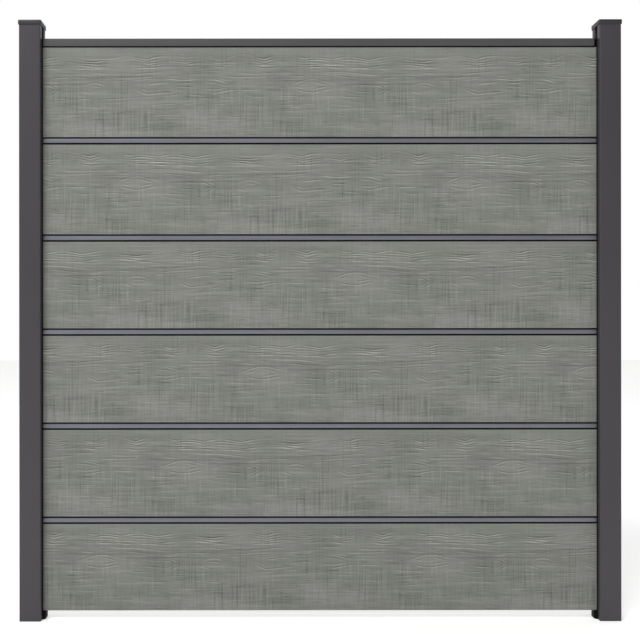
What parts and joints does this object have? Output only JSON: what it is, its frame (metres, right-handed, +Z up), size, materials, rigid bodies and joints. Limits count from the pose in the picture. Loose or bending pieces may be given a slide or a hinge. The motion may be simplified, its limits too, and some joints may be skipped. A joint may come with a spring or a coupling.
{
  "type": "garden privacy screen",
  "caption": "Garden privacy screen: wide grooved posts with flat caps hold stacked wood-grain composite boards, with metal strips in the joints and a rail on top.",
  "frame": {"origin": "on the ground, midway between the posts and on their centre line", "axes": "+X along the fence to the right as seen from the front, +Y from the front to the back, +Z up"},
  "size_m": [1.911, 0.073, 1.9038],
  "materials": {
    "post_coat": "satin",
    "rail_coat": "satin",
    "cap_plastic": "satin",
    "anodised": "satin",
    "composite": "matte",
    "black_plastic": "satin",
    "seal_rubber": "matte"
  },
  "bodies": {
    "screen": {"left_post": "post_coat", "right_post": "post_coat", "top_rail": "rail_coat", "left_rail_end_plug": "black_plastic", "right_rail_end_plug": "black_plastic", "board_1": "composite", "board_2": "composite", "board_3": "composite", "board_4": "composite", "board_5": "composite", "board_6": "composite", "joint_strip_1": "anodised", "joint_strip_2": "anodised", "joint_strip_3": "anodised", "joint_strip_4": "anodised", "joint_strip_5": "anodised", "left_support_block": "black_plastic", "right_support_block": "black_plastic", "left_front_gasket": "seal_rubber", "left_rear_gasket": "seal_rubber", "right_front_gasket": "seal_rubber", "right_rear_gasket": "seal_rubber"},
    "left_cap": {"left_post_cap": "cap_plastic"},
    "right_cap": {"right_post_cap": "cap_plastic"}
  },
  "joints": [
    {"name": "left_cap_lift", "type": "slide", "parent": "screen", "child": "left_cap", "axis": [0, 0, 1], "range_m": [0, 0.03]},
    {"name": "right_cap_lift", "type": "slide", "parent": "screen", "child": "right_cap", "axis": [0, 0, 1], "range_m": [0, 0.03]}
  ]
}
